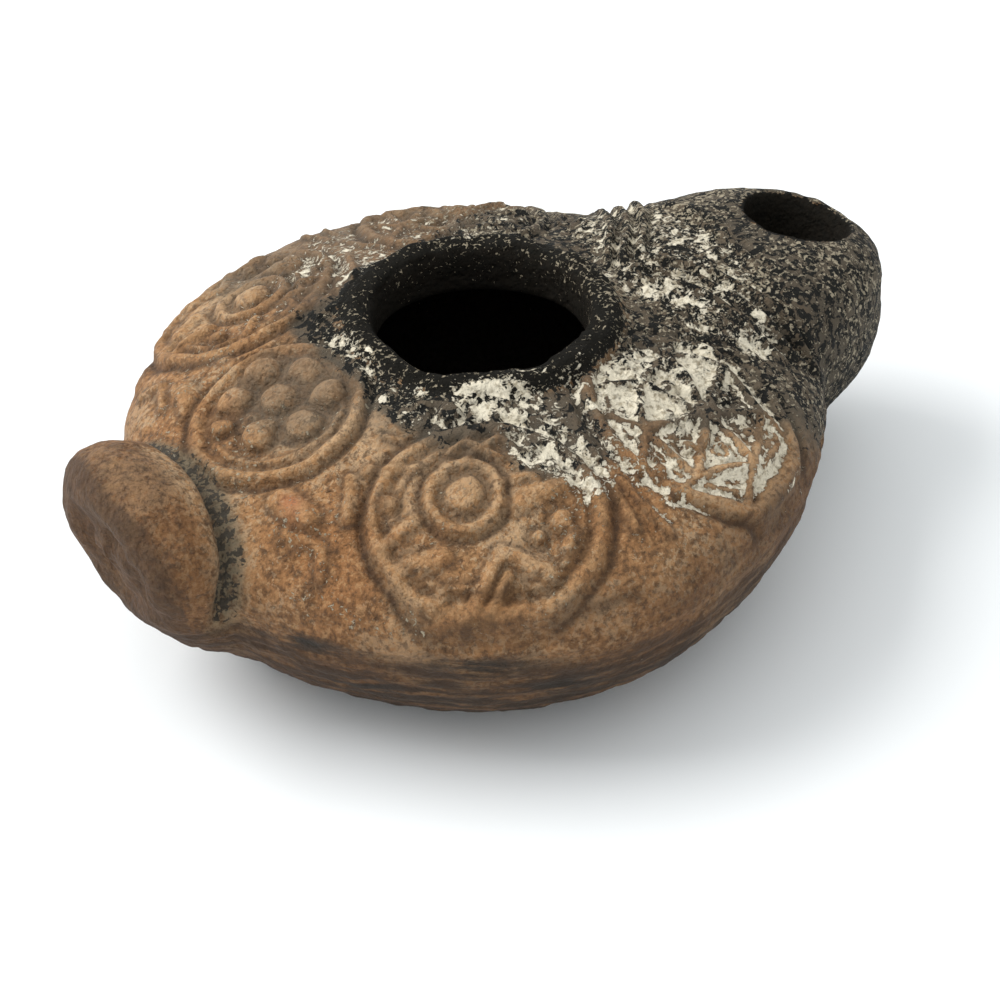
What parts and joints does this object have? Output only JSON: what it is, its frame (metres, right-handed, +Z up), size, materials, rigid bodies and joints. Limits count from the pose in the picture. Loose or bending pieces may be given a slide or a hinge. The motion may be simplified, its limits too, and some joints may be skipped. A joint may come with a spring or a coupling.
{
  "type": "oil lamp",
  "caption": "Mould-made clay oil lamp with a wide filling hole, a wick hole in a rounded nozzle, a knob handle and round relief medallions on its shoulder.",
  "frame": {"origin": "middle of the lamp's bounding box at the level of the flat base", "axes": "+X from the knob handle to the nozzle, +Y to the side away from the picture's camera, +Z up"},
  "size_m": [0.0968, 0.0748, 0.0327],
  "materials": {
    "fired_clay": "matt unglazed terracotta, soot-blackened round the holes, with pale lime crust"
  },
  "bodies": {
    "root": {"lamp": "fired_clay"}
  },
  "joints": []
}
